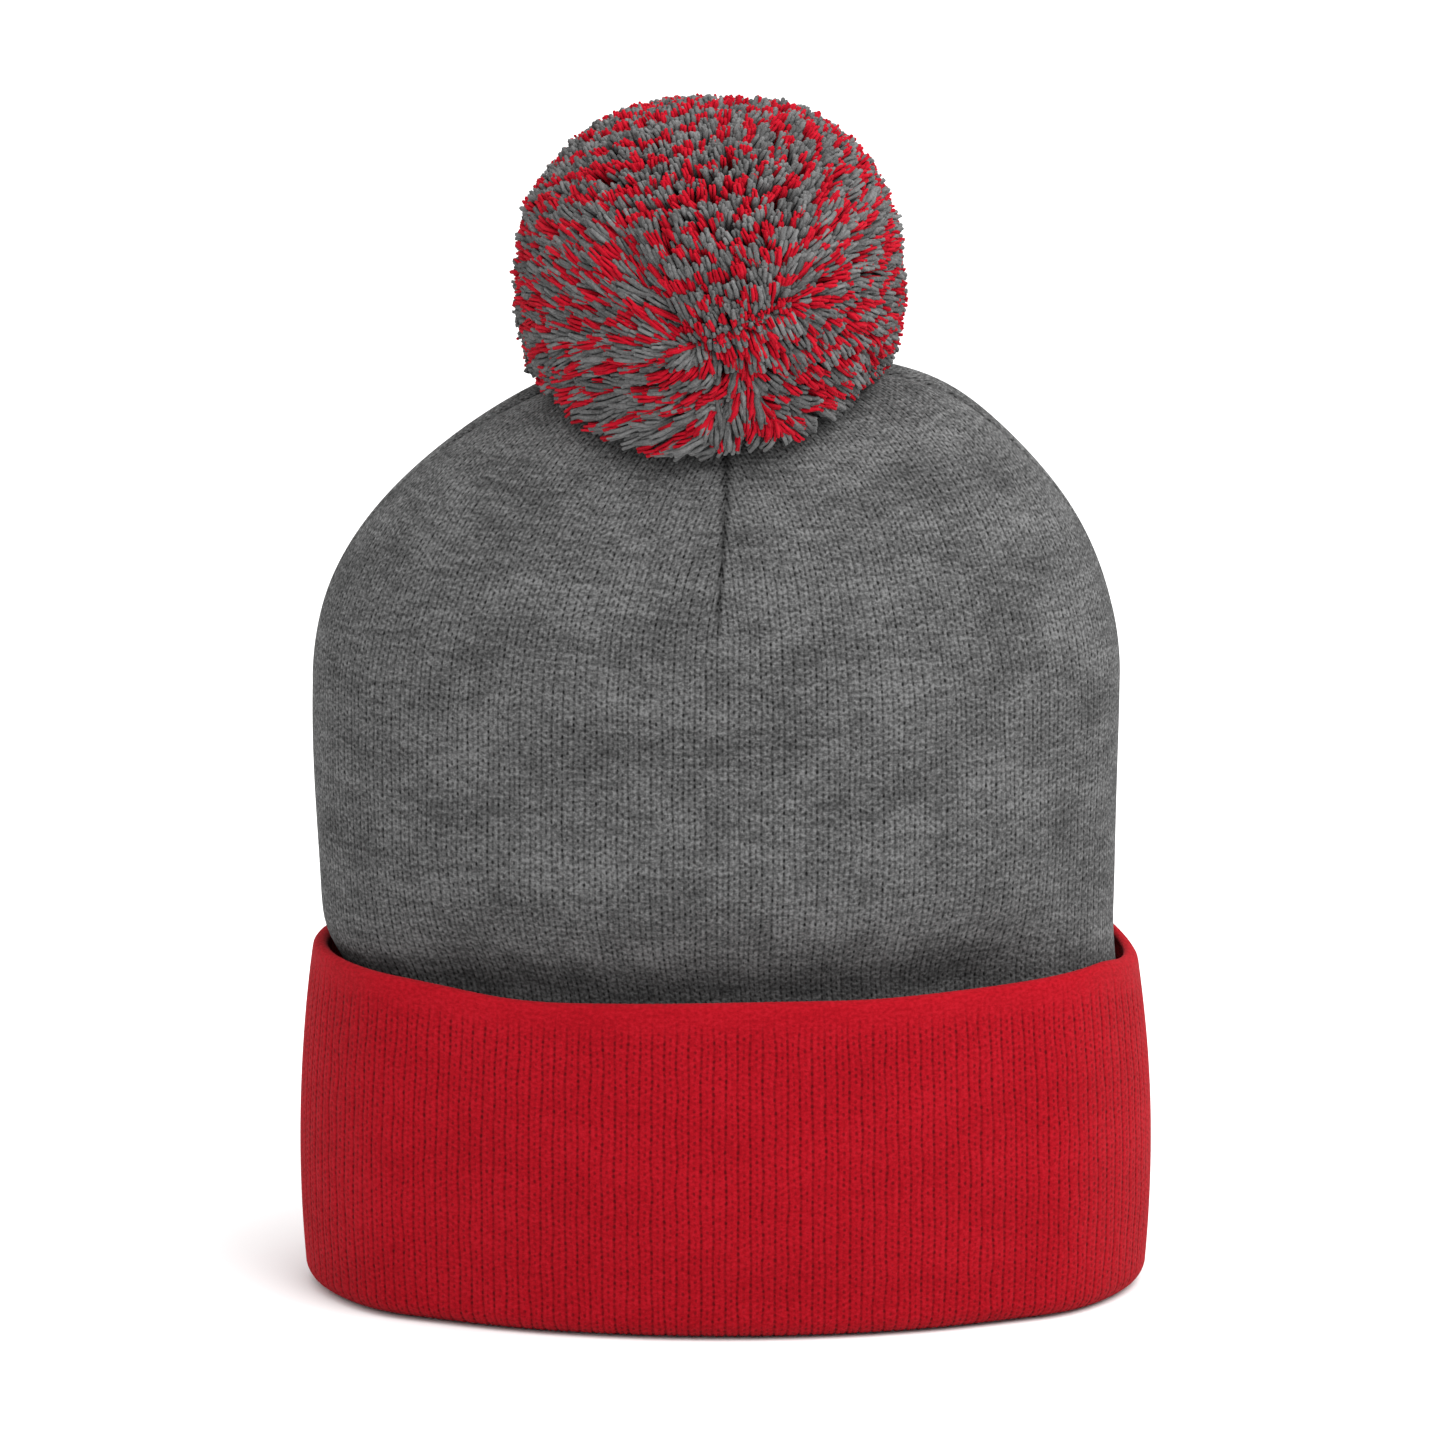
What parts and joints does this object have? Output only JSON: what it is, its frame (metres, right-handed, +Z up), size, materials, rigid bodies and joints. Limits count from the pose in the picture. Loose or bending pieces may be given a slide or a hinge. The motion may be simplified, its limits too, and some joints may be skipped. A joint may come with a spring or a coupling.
{
  "type": "pom pom beanie",
  "caption": "Knitted winter beanie: grey double-layer crown with darts, turned-up red cuff, and a two-colour ball of cut yarn tied on top.",
  "frame": {"origin": "middle of the flat lower edge of the cuff, which the hat stands on", "axes": "+Z up through the crown to the pom pom, -Y towards the front of the hat, +X across it"},
  "size_m": [0.1882, 0.1132, 0.267],
  "materials": {
    "grey_knit": "heathered charcoal jersey knit, matte",
    "red_knit": "red rib-like jersey knit, matte",
    "grey_yarn": "cut grey acrylic yarn, fuzzy",
    "red_yarn": "cut red acrylic yarn, fuzzy",
    "grey_thread": "grey spun sewing thread",
    "red_thread": "red spun sewing thread",
    "tie_cord": "twisted grey cord",
    "label_satin": "plain white satin ribbon"
  },
  "bodies": {
    "crown": {"outer_shell": "grey_knit", "lining": "red_knit", "crown_seam_thread_front": "grey_thread", "crown_seam_thread_right": "grey_thread", "crown_seam_thread_back": "grey_thread", "crown_seam_thread_left": "grey_thread", "lining_seam_thread_front": "red_thread", "lining_seam_thread_right": "red_thread", "lining_seam_thread_back": "red_thread", "lining_seam_thread_left": "red_thread", "crown_apex_stitch": "grey_thread", "lining_apex_stitch": "red_thread", "pompom_knot": "tie_cord", "care_label": "label_satin", "label_stitch_left": "red_thread", "label_stitch_right": "red_thread"},
    "cuff": {"cuff_face_layer": "red_knit", "cuff_back_layer": "red_knit"},
    "pompom_nodding_tie": {"pompom_tie_tail_front": "tie_cord"},
    "pompom_swaying_tie": {"pompom_tie_tail_back": "tie_cord"},
    "pompom": {"pompom_red_bundle_1": "red_yarn", "pompom_red_bundle_2": "red_yarn", "pompom_red_bundle_3": "red_yarn", "pompom_red_bundle_4": "red_yarn", "pompom_grey_bundle_1": "grey_yarn", "pompom_grey_bundle_2": "grey_yarn", "pompom_grey_bundle_3": "grey_yarn", "pompom_grey_bundle_4": "grey_yarn", "pompom_tie_band": "tie_cord"}
  },
  "joints": [
    {"name": "cuff_turn_down", "type": "slide", "parent": "crown", "child": "cuff", "axis": [0, 0, -1], "range_m": [0, 0.066]},
    {"name": "pompom_nod", "type": "hinge", "parent": "crown", "child": "pompom_nodding_tie", "pos_m": [0, 0, 0.208], "axis": [1, 0, 0], "range_deg": [-12, 12], "stiffness_Nm_per_rad": 0.03},
    {"name": "pompom_sway", "type": "hinge", "parent": "pompom_nodding_tie", "child": "pompom_swaying_tie", "pos_m": [0, 0, 0.208], "axis": [0, 1, 0], "range_deg": [-10, 10], "stiffness_Nm_per_rad": 0.03},
    {"name": "pompom_twist", "type": "hinge", "parent": "pompom_swaying_tie", "child": "pompom", "pos_m": [0, 0, 0.208], "axis": [0, 0, 1], "range_deg": [-20, 20], "stiffness_Nm_per_rad": 0.005}
  ]
}
